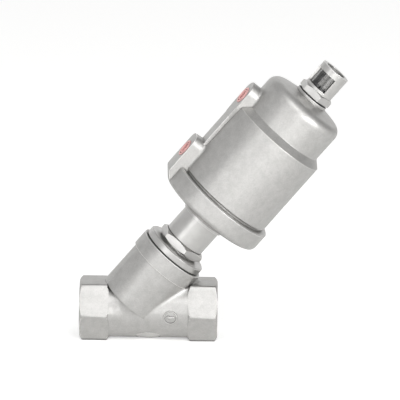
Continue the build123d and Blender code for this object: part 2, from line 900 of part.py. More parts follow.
def blended(form, added, lowest, radius):
    """Turned form joined to a lug, with a fillet where they meet above a station."""
    joined = form + added
    seams = []
    for edge in joined.edges():
        middle = Vertex(*(edge @ 0.5))
        if middle.Z > lowest and on_skin(middle, form) and on_skin(middle, added):
            seams.append(edge)
    return fillet(seams, radius)


def actuator_housing():
    """Cast housing with its port strip."""
    above_groove = barrel_bottom + barrel_edge_chamfer
    outside = blended(housing_outside(), lower_lug(), above_groove, lower_lug_blend)
    outside += blended(housing_outside(), port_strip(), tower_bottom, upper_lug_blend)
    return outside - housing_inside() - air_ways()


def outer_spring():
    """Main closing spring."""
    floor = piston_bottom + piston_floor
    return coil(outer_spring_radius, outer_wire_radius, outer_spring_turns, floor, ceiling)


def inner_spring():
    """Inner closing spring, wound inside the main one."""
    floor = piston_bottom + piston_floor
    return coil(inner_spring_radius, inner_wire_radius, inner_spring_turns, floor, ceiling)


def indicator_bush():
    """Flanged bush and seal for the indicator rod in the dome."""
    bore = rod_radius + running_clearance
    flange_top = dome_floor + bush_flange_height
    return turned(
        (bore, ceiling),
        (bush_radius, ceiling),
        (bush_radius, dome_floor),
        (bush_flange_radius, dome_floor),
        (bush_flange_radius, flange_top),
        (bore, flange_top),
    )


def cage_o_ring():
    """Flat dark ring between the dome's boss and the cage's hexagon."""
    return ring(cage_spigot_radius + thread_clearance, cage_seal_radius, boss_top, cage_hex_bottom)


def indicator_cage():
    """Screwed cage: hexagon, tube with two windows, and a lip that keeps the sight tube in."""
    foot = cage_hex_bottom - cage_spigot_length
    shape = rod(cage_spigot_radius, foot, cage_hex_bottom)
    spanner_hex = chamfered_hex(
        cage_hex_flats, cage_hex_bottom, cage_hex_top, chamfer_bottom=False
    )
    shape += Rot(0, 0, cage_hex_turn) * spanner_hex
    shape += rod(cage_radius, cage_hex_top, cage_top)
    shape -= rod(cage_bore, foot, cage_top - cage_lip_height)
    shape -= rod(cage_bore - cage_lip, cage_top - cage_lip_height, cage_top)
    reach = 2 * cage_radius
    half = radians(window_angle / 2)
    wedge = make_face(Polyline(
        (0, 0),
        (reach * cos(half), -reach * sin(half)),
        (2 * reach, 0),
        (reach * cos(half), reach * sin(half)),
        close=True,
    ))
    low = cage_hex_top + window_sill
    for turn in (window_turn, window_turn + 180):
        cut = extrude(Rot(0, 0, turn) * wedge, window_height)
        cut -= rod(cage_bore - 0.5, -1, window_height + 1)
        shape -= Pos(0, 0, low) * cut
    return shape


def sight_tube():
    """Clear tube inside the cage."""
    top = cage_top - cage_lip_height - seat_clearance
    return ring(sight_radius - sight_wall, sight_radius, dome_floor, top)


def port_plug(face, station):
    """Round plastic plug with a socket, pressed into a port."""
    plane = port_plane(face) * Pos(0, station)
    head = extrude(Circle(port_mouth_radius - plug_clearance), plug_proud + port_mouth_depth)
    head = chamfer(head.faces().sort_by(Axis.Z)[-1].edges(), plug_proud)
    shank = extrude(Circle(port_radius - plug_clearance), -(plug_length - port_mouth_depth))
    socket = extrude(Circle(plug_socket_radius), -plug_socket_depth)
    shape = Pos(0, 0, -port_mouth_depth) * (head + shank) - Pos(0, 0, plug_proud) * socket
    return plane * shape


def lower_port_plug():
    return port_plug(lower_lug_face, lower_port)


def upper_port_plug():
    return port_plug(upper_lug_face, upper_port)


ON_STEM_AXIS = [
    body_gasket,
    bonnet,
    stem_wiper,
    packing_spring,
    packing_washer,
    v_rings,
    gland_nut,
    gland_bush,
    gland_o_ring,
    swivel_o_ring,
    swivel_washer,
    snap_ring,
    stem,
    disc_holder,
    holder_pin,
    disc_seal,
    disc_washer,
    disc_nut,
    piston,
    piston_lip_seal,
    piston_guide_band,
    piston_o_ring,
    piston_washer,
    piston_nut,
    indicator_rod,
    indicator,
    bottom_cap,
    cap_o_ring,
    actuator_housing,
    outer_spring,
    inner_spring,
    indicator_bush,
    cage_o_ring,
    indicator_cage,
    sight_tube,
    lower_port_plug,
    upper_port_plug,
]

os.makedirs("parts", exist_ok=True)
export_step(valve_body(), "parts/valve_body.step")
for make_piece in ON_STEM_AXIS:
    export_step(STEM * make_piece(), f"parts/{make_piece.__name__}.step")
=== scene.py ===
# %% [markdown]
# # Angle seat valve with a piston actuator
# The valve's sizes and moving parts come from its imported CAD model, which is loaded here as a
# fixed frame. Blender adds what the eye needs: finishes, soft casting edges, threads and light.
# The first cell loads the frame and keeps its box.

# %% Load the frame
import bmesh
import bpy
from math import cos, pi, radians, sin
from mathutils import Matrix, Vector


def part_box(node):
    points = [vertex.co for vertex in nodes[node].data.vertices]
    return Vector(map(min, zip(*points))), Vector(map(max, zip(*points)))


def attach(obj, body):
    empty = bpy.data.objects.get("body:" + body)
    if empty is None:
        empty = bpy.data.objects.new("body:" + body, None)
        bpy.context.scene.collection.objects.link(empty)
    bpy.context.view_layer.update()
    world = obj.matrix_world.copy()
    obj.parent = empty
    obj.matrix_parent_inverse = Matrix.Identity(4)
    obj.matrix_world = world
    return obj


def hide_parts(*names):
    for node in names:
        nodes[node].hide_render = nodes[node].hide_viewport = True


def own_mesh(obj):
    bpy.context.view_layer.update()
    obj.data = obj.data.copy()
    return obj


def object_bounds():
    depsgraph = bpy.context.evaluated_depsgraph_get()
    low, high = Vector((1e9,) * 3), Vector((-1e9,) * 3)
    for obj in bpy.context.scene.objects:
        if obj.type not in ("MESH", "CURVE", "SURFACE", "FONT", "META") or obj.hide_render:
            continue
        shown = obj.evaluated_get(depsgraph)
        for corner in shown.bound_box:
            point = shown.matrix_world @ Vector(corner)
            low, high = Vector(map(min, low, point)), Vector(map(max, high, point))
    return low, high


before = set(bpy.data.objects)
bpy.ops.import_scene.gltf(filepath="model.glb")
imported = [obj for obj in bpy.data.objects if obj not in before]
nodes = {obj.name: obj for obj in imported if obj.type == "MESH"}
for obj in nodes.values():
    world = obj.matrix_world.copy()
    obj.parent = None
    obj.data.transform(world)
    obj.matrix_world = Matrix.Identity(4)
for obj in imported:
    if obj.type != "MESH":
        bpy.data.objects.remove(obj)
cad_low, cad_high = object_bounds()
MM = 0.001
print("frame of", len(nodes), "pieces,", [round(v / MM, 1) for v in cad_high - cad_low], "mm")

# %% [markdown]
# ## The camera
# A long lens far away keeps a product's parallel edges nearly parallel. The camera looks down
# on the valve by under 15 degrees, so the tops of the hexagons show as narrow bands. It could
# track an empty, but a place and a turn given outright are easier to repeat exactly.

# %% Camera
lens_mm = 270.43
camera_data = bpy.data.cameras.new("long_lens")
camera_data.lens = lens_mm
camera_data.sensor_width = 36.0
camera_data.clip_start = 0.1
camera_data.clip_end = 20.0
camera = bpy.data.objects.new("camera", camera_data)
bpy.context.scene.collection.objects.link(camera)
bpy.context.scene.camera = camera

turn, tilt, roll = radians(-0.34), radians(14.64), radians(0.90)
forward = Vector((-sin(turn) * cos(tilt), cos(turn) * cos(tilt), -sin(tilt)))
right = Vector((cos(turn), sin(turn), 0.0))
upward = right.cross(forward)
run_middle = Vector((-37.5, 0.0, 0.0))
aside, above, away = 27.15, 59.46, 1640.15    # from the run's middle, in mm
camera_place = run_middle + right * aside + upward * above - forward * away
right_rolled = right * cos(roll) + upward * sin(roll)
up_rolled = upward * cos(roll) - right * sin(roll)
axes = Matrix((right_rolled, up_rolled, -forward)).transposed()
camera.matrix_world = Matrix.Translation(camera_place * MM) @ axes.to_4x4()
print("camera at", [round(v) for v in camera_place], "mm")

# %% [markdown]
# ## The studio
# The valve stands on a pale sheet against a white background. Bare metal shows its surroundings
# more than its own colour, so the light is large soft boxes in a room of grey walls. Each wall's
# grey sets how dark the metal facing it grows.

# %% Helpers for nodes and colours
def linear(hex_colour):
    """Linear RGBA of an sRGB colour written as a hex string."""
    channels = [int(hex_colour[i:i + 2], 16) / 255 for i in (1, 3, 5)]
    out = [c / 12.92 if c <= 0.04045 else ((c + 0.055) / 1.055) ** 2.4 for c in channels]
    return (*out, 1.0)


def add_node(tree, kind, settings=None, **inputs):
    """Adds a node, sets its properties and its inputs, and links those given as sockets."""
    node = tree.nodes.new(kind)
    for key, value in (settings or {}).items():
        setattr(node, key, value)
    for key, value in inputs.items():
        name = key.replace("_", " ")
        socket = node.inputs[int(key[1:])] if key[0] == "i" and key[1:].isdigit() else node.inputs[name]
        if isinstance(value, bpy.types.NodeSocket):
            tree.links.new(value, socket)
        else:
            socket.default_value = value
    return node


print("white is", linear("#FFFFFF")[:3], "and mid grey", round(linear("#808080")[0], 3))

# %% [markdown]
# ## Background and floor
# A white background is bright to the eye and in mirror-like metal, but would flood matt surfaces
# with light, so its strength depends on the kind of ray. The sheet's glow does too: it keeps the
# sheet white to the eye, adds less to the metal's reflections and nothing to matt surfaces.

# %% World and floor
sky_on_matt, sky_in_view = 0.55, 1.0
paper_in_view, paper_in_mirrors = 0.42, 0.17
world = bpy.data.worlds.new("white_studio")
bpy.context.scene.world = world
world.use_nodes = True
sky = world.node_tree
sky.nodes.clear()
path = add_node(sky, "ShaderNodeLightPath")
seen = add_node(sky, "ShaderNodeMath", {"operation": "MAXIMUM"},
                i0=path.outputs["Is Camera Ray"], i1=path.outputs["Is Glossy Ray"])
seen = add_node(sky, "ShaderNodeMath", {"operation": "MAXIMUM"},
                i0=seen.outputs[0], i1=path.outputs["Is Transmission Ray"])
strength = add_node(sky, "ShaderNodeMapRange", To_Min=sky_on_matt, To_Max=sky_in_view,
                    Value=seen.outputs[0])
glow = add_node(sky, "ShaderNodeBackground", Color=linear("#FFFFFF"), Strength=strength.outputs[0])
add_node(sky, "ShaderNodeOutputWorld", Surface=glow.outputs[0])

bpy.context.scene.view_settings.view_transform = "Standard"

floor_level = cad_low.z
sheet_half, sheet_gap = 3.0, 0.0002    # in m
floor_mesh = bpy.data.meshes.new("floor")
sheet = bmesh.new()
bmesh.ops.create_grid(sheet, x_segments=1, y_segments=1, size=sheet_half)
bmesh.ops.translate(sheet, verts=sheet.verts, vec=(0, 0, floor_level - sheet_gap))
sheet.to_mesh(floor_mesh)
sheet.free()
floor = bpy.data.objects.new("floor", floor_mesh)
bpy.context.scene.collection.objects.link(floor)
paper = bpy.data.materials.new("matt_white_paper")
paper.use_nodes = True
paper.node_tree.nodes.clear()
matt = add_node(paper.node_tree, "ShaderNodeBsdfDiffuse", Color=linear("#F1F1F0"))
ray = add_node(paper.node_tree, "ShaderNodeLightPath")
direct = add_node(paper.node_tree, "ShaderNodeMath", {"operation": "MAXIMUM"},
                  i0=ray.outputs["Is Camera Ray"], i1=ray.outputs["Is Transmission Ray"])
viewed = add_node(paper.node_tree, "ShaderNodeMath", {"operation": "MULTIPLY"},
                  i0=direct.outputs[0], i1=paper_in_view)
mirrored = add_node(paper.node_tree, "ShaderNodeMath", {"operation": "MULTIPLY"},
                    i0=ray.outputs["Is Glossy Ray"], i1=paper_in_mirrors)
summed = add_node(paper.node_tree, "ShaderNodeMath", {"operation": "ADD"},
                  i0=viewed.outputs[0], i1=mirrored.outputs[0])
backlight = add_node(paper.node_tree, "ShaderNodeEmission", Color=linear("#FFFFFF"),
                     Strength=summed.outputs[0])
both = add_node(paper.node_tree, "ShaderNodeAddShader", i0=matt.outputs[0], i1=backlight.outputs[0])
add_node(paper.node_tree, "ShaderNodeOutputMaterial", Surface=both.outputs[0])
floor_mesh.materials.append(paper)
print("floor at", round(floor_level / MM, 2), "mm")

# %% [markdown]
# ## Soft boxes and grey walls
# Each lamp is set by the direction it stands in, seen from the valve, so it can be moved without
# working out a new turn. The walls glow evenly and are hidden from the camera and from matt
# surfaces, so they show only in reflections and through the clear tube.

# %% Soft boxes and grey walls
aim_at = (cad_low + cad_high) / 2


def soft_box(name, direction, distance, width, height, power):
    """Area lamp that faces the valve from a direction."""
    lamp_data = bpy.data.lights.new(name, "AREA")
    lamp_data.shape = "RECTANGLE"
    lamp_data.size = width
    lamp_data.size_y = height
    lamp_data.energy = power
    lamp = bpy.data.objects.new(name, lamp_data)
    way = Vector(direction).normalized()
    lamp.location = aim_at + way * distance
    lamp.rotation_euler = (-way).to_track_quat("-Z", "Y").to_euler()
    bpy.context.scene.collection.objects.link(lamp)


def room_card(name, direction, distance, width, height, shade):
    """Evenly glowing card of a shade of grey, hidden from the camera and from matt surfaces."""
    mesh = bpy.data.meshes.new(name)
    card = bmesh.new()
    bmesh.ops.create_grid(card, x_segments=1, y_segments=1, size=0.5)
    bmesh.ops.scale(card, verts=card.verts, vec=(width, height, 1))
    way = Vector(direction).normalized()
    place = Matrix.Translation(aim_at + way * distance) @ way.to_track_quat("Z", "Y").to_matrix().to_4x4()
    card.transform(place)
    card.to_mesh(mesh)
    card.free()
    obj = bpy.data.objects.new(name, mesh)
    bpy.context.scene.collection.objects.link(obj)
    card_paint = bpy.data.materials.new(name + "_paint")
    card_paint.use_nodes = True
    card_paint.node_tree.nodes.clear()
    even = add_node(card_paint.node_tree, "ShaderNodeEmission", Color=linear("#FFFFFF"), Strength=shade)
    add_node(card_paint.node_tree, "ShaderNodeOutputMaterial", Surface=even.outputs[0])
    mesh.materials.append(card_paint)
    obj.visible_camera = False
    obj.visible_shadow = False
    obj.visible_diffuse = False


# direction; distance, width and height in m; power in W
soft_boxes = {
    "front_top_box": ((0.05, -0.75, 0.75), 1.1, 0.8, 0.5, 3.9),
    "front_box": ((0.2, -0.95, 0.15), 1.2, 0.7, 0.4, 1.95),
    "front_left_box": ((-0.56, -0.80, 0.20), 1.1, 0.4, 0.6, 1.7),
    "front_right_box": ((0.8, -0.6, 0.3), 1.1, 0.3, 0.6, 1.4),
    "top_box": ((0.0, -0.15, 1.0), 1.1, 0.6, 0.6, 0.45),
    "low_right_box": ((0.6, -0.75, 0.06), 1.1, 0.5, 0.12, 3.9),
    "low_front_box": ((0.0, -0.99, 0.06), 1.1, 0.9, 0.12, 0.8),
}
for box_name, settings in soft_boxes.items():
    soft_box(box_name, *settings)

wall_away, wall_side = 2.2, 4.4
walls = {"front_wall": ((0, -1, 0), 0.23), "left_wall": ((-1, 0, 0), 0.77),
         "right_wall": ((1, 0, 0), 0.45), "ceiling": ((0, 0, 1), 0.52)}
for wall_name, (side, grey) in walls.items():
    room_card(wall_name, side, wall_away, wall_side, wall_side, grey)

# %% [markdown]
# ## Finishes
# The metal outside is all stainless steel, but made in two ways, and each catches light
# differently: the castings were blasted with glass beads, and the neck and nuts were turned on
# a lathe. A pattern on Object coordinates stays in
# place when the piece moves, so each finish is worked out from a real size in millimetres.

# %% Helpers for finishes
stem_angle = radians(50.0)
stem_foot = Vector((-51.05, 0.0, 0.0)) * MM
stem_across = Vector((sin(stem_angle), 0.0, -cos(stem_angle)))
stem_along = Vector((cos(stem_angle), 0.0, sin(stem_angle)))
to_upright = (0, -(pi / 2 - stem_angle), 0)


def new_finish(name, colour, metallic, roughness):
    """Material with a Principled shader, its node tree and its Object coordinates."""
    material = bpy.data.materials.new(name)
    material.use_nodes = True
    tree = material.node_tree
    shader = tree.nodes["Principled BSDF"]
    shader.inputs["Base Color"].default_value = linear(colour)
    shader.inputs["Metallic"].default_value = metallic
    shader.inputs["Roughness"].default_value = roughness
    place = add_node(tree, "ShaderNodeTexCoord").outputs["Object"]
    return material, tree, shader, place


def per_mm(size):
    """Scale of a noise whose grains are about this many millimetres wide."""
    return 1.0 / (size * MM)


def painted_crevice_shade(tree, reach, least):
    """1 on open skin and less in corners within reach: the mask for shade painted into corners and creases.
    """
    near = add_node(tree, "ShaderNodeAmbientOcclusion", {"samples": 8}, Distance=reach * MM)
    return add_node(tree, "ShaderNodeMapRange", Value=near.outputs["AO"], From_Min=0.15, From_Max=0.85,
                    To_Min=least, To_Max=1.0).outputs[0]


def two_tone(tree, factor, low, high):
    """Colour between two tones, given as hex strings, that follows a factor."""
    mix = add_node(tree, "ShaderNodeMix", {"data_type": "RGBA"}, Factor=factor,
                   i6=linear(low), i7=linear(high))
    return mix.outputs[2]


def roughened(tree, shader, height, strength, depth, **under):
    """Gives the shader a bump of a depth in millimetres, over another normal if one is given."""
    bump = add_node(tree, "ShaderNodeBump", Height=height, Strength=strength, Distance=depth * MM, **under)
    tree.links.new(bump.outputs[0], shader.inputs["Normal"])


def shaded(tree, colour, factor, dark):
    """Colour that turns to a dark tone where the factor falls to 0."""
    mix = add_node(tree, "ShaderNodeMix", {"data_type": "RGBA"}, Factor=factor, i6=linear(dark), i7=colour)
    return mix.outputs[2]


def edge_highlight_and_wear(tree, colour, reach):
    """Colour made paler along outer edges: a painted highlight where light catches the edges, which also
    stands for handling rubbing the skin bright.
    """
    rounded = add_node(tree, "ShaderNodeBevel", {"samples": 8}, Radius=reach * MM)
    plain = add_node(tree, "ShaderNodeNewGeometry")
    agree = add_node(tree, "ShaderNodeVectorMath", {"operation": "DOT_PRODUCT"},
                     i0=rounded.outputs[0], i1=plain.outputs["Normal"])
    edge = add_node(tree, "ShaderNodeMapRange", Value=agree.outputs["Value"], From_Min=0.99, From_Max=0.90,
                    To_Min=0.0, To_Max=1.0)
    outer = add_node(tree, "ShaderNodeAmbientOcclusion", {"samples": 8}, Distance=1.2 * MM)
    clear_side = add_node(tree, "ShaderNodeMapRange", Value=outer.outputs["AO"], From_Min=0.86, From_Max=0.98)
    amount = add_node(tree, "ShaderNodeMath", {"operation": "MULTIPLY"}, i0=edge.outputs[0],
                      i1=clear_side.outputs[0])
    mix = add_node(tree, "ShaderNodeMix", {"data_type": "RGBA"}, Factor=amount.outputs[0], i6=colour,
                   i7=linear("#F2F1EF"))
    return mix.outputs[2]


print("stem leans", round(90 - stem_angle * 180 / pi), "degrees from the upright")

# %% [markdown]
# ## Investment casting, blasted with glass beads
# The body and the actuator's housing are cast in 316 stainless in a ceramic shell, then blasted
# with glass beads, which leaves an even silvery matt with a fine sparkle. Grey metal with a
# roughness near 0.45 gives the matt, a noise under a millimetre gives the sparkle, and a
# wider, weaker one gives the gentle unevenness of a casting. The Bevel node rounds the edges
# for the light alone, which is cheaper than a bevel on a CAD mesh of loose triangles.

# %% Bead-blasted casting
def blasted_casting(name):
    """Casting finish; gives the material and the sockets that later details build on."""
    material, tree, shader, place = new_finish(name, "#BEBDBB", 1.0, 0.46)
    # real bead marks are near 0.1 mm, and these are 0.6 mm wide so that they still show
    grain = add_node(tree, "ShaderNodeTexNoise", Vector=place, Scale=per_mm(0.6), Detail=3.0, Roughness=0.7)
    cloud = add_node(tree, "ShaderNodeTexNoise", Vector=place, Scale=per_mm(4.0), Detail=5.0, Roughness=0.65)
    blotch = add_node(tree, "ShaderNodeMapRange", Value=cloud.outputs["Fac"], From_Min=0.3, From_Max=0.7)
    tone = two_tone(tree, blotch.outputs[0], "#B8B7B5", "#C5C4C2")
    speck = add_node(tree, "ShaderNodeMapRange", Value=grain.outputs["Fac"], From_Min=0.35, From_Max=0.62,
                     To_Min=0.84, To_Max=1.0)
    sparkle = shaded(tree, tone, speck.outputs[0], "#3A3936")
    # painted shade: the colour turns dark in corners and creases; a painted highlight pales the outer edges,
    # which also stands for rub wear
    shade_in_hollows = add_node(tree, "ShaderNodeMath", {"operation": "MULTIPLY"}, i0=painted_crevice_shade(tree, 1.6, 0.3),
                    i1=painted_crevice_shade(tree, 0.5, 0.0))
    blasted = edge_highlight_and_wear(tree, shaded(tree, sparkle, shade_in_hollows.outputs[0], "#3A3733"), 0.7)
    tree.links.new(blasted, shader.inputs["Base Color"])
    sheen = add_node(tree, "ShaderNodeMapRange", Value=grain.outputs["Fac"], From_Min=0.3, From_Max=0.7,
                     To_Min=0.38, To_Max=0.52)
    tree.links.new(sheen.outputs[0], shader.inputs["Roughness"])
    round_edge = add_node(tree, "ShaderNodeBevel", {"samples": 6}, Radius=0.45 * MM)
    swell = add_node(tree, "ShaderNodeTexNoise", Vector=place, Scale=per_mm(3.0), Detail=2.0)
    uneven = add_node(tree, "ShaderNodeBump", Height=swell.outputs["Fac"], Strength=0.30, Distance=0.06 * MM,
                      Normal=round_edge.outputs[0])
    roughened(tree, shader, grain.outputs["Fac"], 0.5, 0.06, Normal=uneven.outputs[0])
    return material, tree, shader, place, blasted


housing_steel = blasted_casting("bead_blasted_316_housing")[0]
body_steel, tree, shader, place, blasted = blasted_casting("bead_blasted_316_body")
print(housing_steel.name, "and", body_steel.name, len(tree.nodes), "nodes")

# %% [markdown]
# ## Ground patch under the run
# The oval flat low on the front of the run is taken to be where a casting gate was ground off.
# It is painted brighter than the blasted skin, partly as ground metal and partly as a painted
# reflection of the pale floor below it, and has short scratches. The oval is found with the
# length of a squeezed vector from its centre, so nothing has to be drawn on the mesh.

# %% Ground gate
gate_turn = radians(57.0)
gate_radius, gate_half_length, gate_half_width = 15.3, 6.8, 4.9
gate_centre = Vector((run_middle.x, -gate_radius * cos(gate_turn), -gate_radius * sin(gate_turn))) * MM
shifted = add_node(tree, "ShaderNodeVectorMath", {"operation": "SUBTRACT"}, i0=place, i1=gate_centre)
oval = add_node(tree, "ShaderNodeVectorMath", {"operation": "MULTIPLY"}, i0=shifted.outputs[0],
                i1=(1 / (gate_half_length * MM), 1 / (gate_half_width * MM), 1 / (gate_half_width * MM)))
reach = add_node(tree, "ShaderNodeVectorMath", {"operation": "LENGTH"}, i0=oval.outputs[0])
patch = add_node(tree, "ShaderNodeMapRange", Value=reach.outputs["Value"], From_Min=1.0, From_Max=0.93)
scratch_place = add_node(tree, "ShaderNodeMapping", Vector=place, Scale=(0.06, 1.0, 1.0))
scratches = add_node(tree, "ShaderNodeTexNoise", Vector=scratch_place.outputs[0], Scale=per_mm(0.3),
                     Detail=2.0)
# painted brighter: ground metal, with a painted reflection of the pale floor
ground_and_reflection = two_tone(tree, scratches.outputs["Fac"], "#C6C5C3", "#DCDBD9")
with_patch = add_node(tree, "ShaderNodeMix", {"data_type": "RGBA"}, Factor=patch.outputs[0], i6=blasted,
                      i7=ground_and_reflection)
tree.links.new(with_patch.outputs[2], shader.inputs["Base Color"])
print("gate patch at", [round(v / MM, 1) for v in gate_centre], "mm")

# %% [markdown]
# ## Stainless turned on a lathe
# The bonnet, the nuts and the indicator's cage are turned from bar. The tool leaves rings round
# the stem's axis, so the noise is squeezed along that axis and stretched round it. One Mapping
# node scales before it turns, so it takes two: the first turns the axis upright, and the second
# scales the other two down.

# %% Turned steel
turned_steel, tree, shader, place = new_finish("turned_304_bar", "#BFBEBC", 1.0, 0.32)
upright = add_node(tree, "ShaderNodeMapping", Vector=place, Rotation=to_upright)
squeeze = add_node(tree, "ShaderNodeMapping", Vector=upright.outputs[0], Scale=(0.03, 0.03, 1.0))
# a finishing cut leaves lines 0.1 mm apart, drawn here 0.3 mm apart so that they show
lines = add_node(tree, "ShaderNodeTexNoise", Vector=squeeze.outputs[0], Scale=per_mm(0.3), Detail=2.0)
cloud = add_node(tree, "ShaderNodeTexNoise", Vector=place, Scale=per_mm(4.0), Detail=3.0)
tone = two_tone(tree, cloud.outputs["Fac"], "#B5B4B2", "#C9C8C6")
# painted shade darkens the corners, and a painted highlight pales the outer edges, which also stands for rub
# wear
shade_in_corners = shaded(tree, tone, painted_crevice_shade(tree, 1.1, 0.35), "#2E2C2A")
tree.links.new(edge_highlight_and_wear(tree, shade_in_corners, 0.4), shader.inputs["Base Color"])
round_edge = add_node(tree, "ShaderNodeBevel", {"samples": 6}, Radius=0.25 * MM)
roughened(tree, shader, lines.outputs["Fac"], 0.10, 0.02, Normal=round_edge.outputs[0])
rough = add_node(tree, "ShaderNodeMapRange", Value=lines.outputs["Fac"], From_Min=0.3, From_Max=0.7,
                 To_Min=0.30, To_Max=0.40)
tree.links.new(rough.outputs[0], shader.inputs["Roughness"])
print(turned_steel.name, len(tree.nodes), "nodes")

# %% [markdown]
# ## Soft parts: rubber, graphite, PTFE and red plastic
# Seals are moulded or pressed, so none of them is one flat colour: rubber has a dusty bloom,
# graphite has dark flakes, and PTFE is milky with faint marks. The port plugs are taken to be
# polyethylene. Their open faces are pale, and their socket and groove are painted deep red as
# shade, by the factor that paints shade into corners.

# %% Rubber, graphite and PTFE
rubber, tree, shader, place = new_finish("moulded_nbr_rubber", "#1C1C1D", 0.0, 0.6)
bloom = add_node(tree, "ShaderNodeTexNoise", Vector=place, Scale=per_mm(1.2), Detail=4.0)
tone = two_tone(tree, bloom.outputs["Fac"], "#121213", "#2A2A2B")
tree.links.new(tone, shader.inputs["Base Color"])
roughened(tree, shader, bloom.outputs["Fac"], 0.3, 0.03)

graphite, tree, shader, place = new_finish("pressed_graphite_gasket", "#3A3A3A", 0.0, 0.55)
flakes = add_node(tree, "ShaderNodeTexVoronoi", Vector=place, Scale=per_mm(0.5))
tone = two_tone(tree, flakes.outputs["Distance"], "#1E1E1F", "#4A4A4A")
tree.links.new(tone, shader.inputs["Base Color"])

ptfe, tree, shader, place = new_finish("pressed_and_turned_ptfe", "#E9E7E0", 0.0, 0.45)
milk = add_node(tree, "ShaderNodeTexNoise", Vector=place, Scale=per_mm(2.0), Detail=3.0)
tone = two_tone(tree, milk.outputs["Fac"], "#DEDCD4", "#F1EFE9")
tree.links.new(tone, shader.inputs["Base Color"])
marks = add_node(tree, "ShaderNodeTexNoise", Vector=place, Scale=per_mm(0.3), Detail=1.0)
roughened(tree, shader, marks.outputs["Fac"], 0.15, 0.02)
print("soft finishes:", rubber.name, graphite.name, ptfe.name)

# %% [markdown]
# ## Red plastic
# Two reds are needed: the pale one of the transport plugs, and the strong one of the indicator,
# which has to be seen through the sight tube when the valve is open.

# %% Red plastic
red_plastic, tree, shader, place = new_finish("moulded_red_polyethylene", "#D08C88", 0.0, 0.42)
flow = add_node(tree, "ShaderNodeTexNoise", Vector=place, Scale=per_mm(1.5), Detail=3.0)
tone = two_tone(tree, flow.outputs["Fac"], "#E2A5A2", "#EDC0BD")
# painted shade: the plug turns deep red in its socket and groove, where shade falls
shade_in_hollows = shaded(tree, tone, painted_crevice_shade(tree, 4.0, 0.0), "#6E0B10")
tree.links.new(shade_in_hollows, shader.inputs["Base Color"])
roughened(tree, shader, flow.outputs["Fac"], 0.2, 0.03)

signal_red, tree, shader, place = new_finish("moulded_red_abs_indicator", "#B3231F", 0.0, 0.35)
flow = add_node(tree, "ShaderNodeTexNoise", Vector=place, Scale=per_mm(2.0), Detail=3.0)
tone = two_tone(tree, flow.outputs["Fac"], "#A81F1C", "#BE2B25")
tree.links.new(tone, shader.inputs["Base Color"])
roughened(tree, shader, flow.outputs["Fac"], 0.2, 0.03)
print("red finishes:", red_plastic.name, signal_red.name)

# %% [markdown]
# ## Inner metals
# The piston is taken to be machined aluminium and the springs drawn wire, both seen only in a
# cut-away. Aluminium is the paler of the two.

# %% Aluminium and spring wire
aluminium, tree, shader, place = new_finish("machined_6082_aluminium", "#D8D8D9", 1.0, 0.32)
# with one Mapping node these marks lie level, not round the stem; the piston is inside, so it stays
upright = add_node(tree, "ShaderNodeMapping", Vector=place, Rotation=to_upright,
                   Scale=(0.05, 0.05, 1.0))
cuts = add_node(tree, "ShaderNodeTexNoise", Vector=upright.outputs[0], Scale=per_mm(0.4), Detail=2.0)
tone = two_tone(tree, cuts.outputs["Fac"], "#CFCFD0", "#E0E0E1")
tree.links.new(tone, shader.inputs["Base Color"])
roughened(tree, shader, cuts.outputs["Fac"], 0.15, 0.02)

spring_steel, tree, shader, place = new_finish("drawn_302_spring_wire", "#A9A8A6", 1.0, 0.3)
drawn = add_node(tree, "ShaderNodeTexNoise", Vector=place, Scale=per_mm(0.6), Detail=3.0)
tone = two_tone(tree, drawn.outputs["Fac"], "#9B9A98", "#B4B3B1")
tree.links.new(tone, shader.inputs["Base Color"])
rough = add_node(tree, "ShaderNodeMapRange", Value=drawn.outputs["Fac"], To_Min=0.22, To_Max=0.38)
tree.links.new(rough.outputs[0], shader.inputs["Roughness"])
print("inner metals:", aluminium.name, spring_steel.name)

# %% [markdown]
# ## Sight tube
# The sight tube is taken to be clear polycarbonate. Light and dark bars stand along it, ten
# round the tube. What makes them isn't known, so they're a plain tint that follows the cosine
# of the angle about the tube's axis.

# %% Sight tube
bars_round, waver_share = 10.0, 0.1
clear, tree, shader, place = new_finish("extruded_clear_polycarbonate", "#FFFFFF", 0.0, 0.08)
shader.inputs["Transmission Weight"].default_value = 1.0
shader.inputs["IOR"].default_value = 1.58
foot = Matrix.Rotation(to_upright[1], 3, "Y") @ stem_foot
centred = add_node(tree, "ShaderNodeMapping", Vector=place, Rotation=to_upright,
                   Location=tuple(-foot))
split = add_node(tree, "ShaderNodeSeparateXYZ", Vector=centred.outputs[0])
angle = add_node(tree, "ShaderNodeMath", {"operation": "ARCTAN2"}, i0=split.outputs["X"],
                 i1=split.outputs["Y"])
ten = add_node(tree, "ShaderNodeMath", {"operation": "MULTIPLY"}, i0=angle.outputs[0], i1=bars_round)
wave = add_node(tree, "ShaderNodeMath", {"operation": "COSINE"}, i0=ten.outputs[0])
waver = add_node(tree, "ShaderNodeTexNoise", Vector=place, Scale=per_mm(2.5), Detail=1.0)
stripe = add_node(tree, "ShaderNodeMath", {"operation": "MULTIPLY_ADD"},
                  i0=waver.outputs["Fac"], i1=waver_share, i2=wave.outputs[0])
# painted light and dark bars in the tube's colour; what makes them isn't known
painted_bars = add_node(tree, "ShaderNodeMapRange", Value=stripe.outputs[0], From_Min=0.2, From_Max=0.7,
                 To_Min=0.0, To_Max=1.0)
tint = shaded(tree, linear("#FFFFFF"), painted_bars.outputs[0], "#7E7D7B")
tree.links.new(tint, shader.inputs["Base Color"])
print(clear.name, len(tree.nodes), "nodes")

# %% [markdown]
# ## Dressing the CAD pieces
# Each finish gets the list of the pieces that wear it. The last line prints the pieces that no
# list names, so a forgotten one shows at once.

